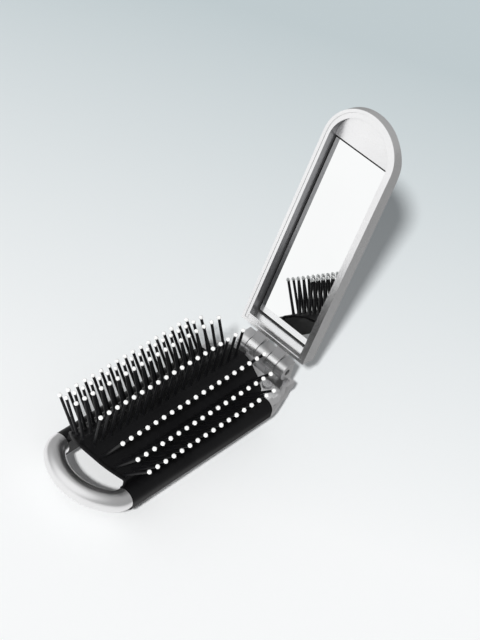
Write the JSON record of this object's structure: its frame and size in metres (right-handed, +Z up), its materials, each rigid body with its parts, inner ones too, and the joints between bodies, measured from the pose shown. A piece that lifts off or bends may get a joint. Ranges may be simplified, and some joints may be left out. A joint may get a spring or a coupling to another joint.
{
  "type": "folding hairbrush with mirror",
  "caption": "Pocket hairbrush with a pop-up pad of ball-tipped pins, a finger loop and a hinged lid that holds a mirror, standing open.",
  "frame": {"origin": "on the flat underside of the back cover, below the middle of the bristle field", "axes": "+X along the brush from the finger loop to the hinge, +Y across it to the far side, +Z up out of the pad"},
  "size_m": [0.1173, 0.0394, 0.1037],
  "materials": {
    "silver": "satin silver plated moulding",
    "bright_silver": "bright satin silver plated moulding",
    "steel": "plain turned steel",
    "rubber": "smooth black rubber with a soft sheen",
    "pins": "black, moulded with the pad",
    "ivory": "glossy ivory-white balls",
    "mirror": "silvered glass",
    "tape": "foam tape"
  },
  "bodies": {
    "base": {"base_frame": "silver", "back_cover": "silver", "cover_screws": "steel", "sheet_edge_near": "rubber", "sheet_edge_far": "rubber", "bristle_sheet": "rubber", "arm_pin": "steel"},
    "hinge_pin": {"hinge_pin": "steel"},
    "lid": {"lid_shell": "bright_silver", "lid_liner": "bright_silver", "mirror": "mirror", "mirror_tape": "tape", "tip_plate": "bright_silver", "lower_strip": "bright_silver"},
    "lift_arm": {"lift_arm": "silver"},
    "row_far_outer": {"row_far_outer": "pins", "tips_far_outer": "ivory"},
    "row_far_middle": {"row_far_middle": "pins", "tips_far_middle": "ivory"},
    "row_far_inner": {"row_far_inner": "pins", "tips_far_inner": "ivory"},
    "row_centre": {"row_centre": "pins", "tips_centre": "ivory"},
    "row_near_inner": {"row_near_inner": "pins", "tips_near_inner": "ivory"},
    "row_near_middle": {"row_near_middle": "pins", "tips_near_middle": "ivory"},
    "row_near_outer": {"row_near_outer": "pins", "tips_near_outer": "ivory"}
  },
  "joints": [
    {"name": "lid_fold", "type": "hinge", "parent": "base", "child": "hinge_pin", "pos_m": [0.0491, 0, 0.0129], "axis": [0, -1, 0], "range_deg": [0, 101.9]},
    {"name": "lid_open", "type": "hinge", "parent": "hinge_pin", "child": "lid", "pos_m": [0.0491, 0, 0.0129], "axis": [0, 1, 0], "range_deg": [0, 78.1]},
    {"name": "arm_swing", "type": "hinge", "parent": "base", "child": "lift_arm", "pos_m": [0.0463, 0, 0.005], "axis": [0, -1, 0], "range_deg": [0, 14.1]},
    {"name": "far_outer_row_fold", "type": "hinge", "parent": "base", "child": "row_far_outer", "pos_m": [0, 0.02448, 0.00846], "axis": [1, 0, 0], "range_deg": [0, 45.8]},
    {"name": "far_middle_row_fold", "type": "hinge", "parent": "base", "child": "row_far_middle", "pos_m": [0, 0.02845, 0.00876], "axis": [1, 0, 0], "range_deg": [0, 37.51]},
    {"name": "far_inner_row_fold", "type": "hinge", "parent": "base", "child": "row_far_inner", "pos_m": [0, 0.03818, 0.01038], "axis": [1, 0, 0], "range_deg": [0, 27.4]},
    {"name": "centre_row_drop", "type": "slide", "parent": "base", "child": "row_centre", "axis": [0, 0, -1], "range_m": [0, 0.01783], "deforming": ["bristle_sheet"]},
    {"name": "near_inner_row_fold", "type": "hinge", "parent": "base", "child": "row_near_inner", "pos_m": [0, -0.03818, 0.01038], "axis": [-1, 0, 0], "range_deg": [0, 27.4]},
    {"name": "near_middle_row_fold", "type": "hinge", "parent": "base", "child": "row_near_middle", "pos_m": [0, -0.02845, 0.00876], "axis": [-1, 0, 0], "range_deg": [0, 37.51]},
    {"name": "near_outer_row_fold", "type": "hinge", "parent": "base", "child": "row_near_outer", "pos_m": [0, -0.02448, 0.00846], "axis": [-1, 0, 0], "range_deg": [0, 45.8]}
  ],
  "couplings": [
    {"joint": "arm_swing", "follows": "lid_fold", "ratio": 0.13837},
    {"joint": "far_outer_row_fold", "follows": "lid_fold", "ratio": 0.44946},
    {"joint": "far_middle_row_fold", "follows": "lid_fold", "ratio": 0.36809},
    {"joint": "far_inner_row_fold", "follows": "lid_fold", "ratio": 0.26889},
    {"joint": "centre_row_drop", "follows": "lid_fold", "m_per_rad": 0.010027},
    {"joint": "near_inner_row_fold", "follows": "lid_fold", "ratio": 0.26889},
    {"joint": "near_middle_row_fold", "follows": "lid_fold", "ratio": 0.36809},
    {"joint": "near_outer_row_fold", "follows": "lid_fold", "ratio": 0.44946}
  ]
}
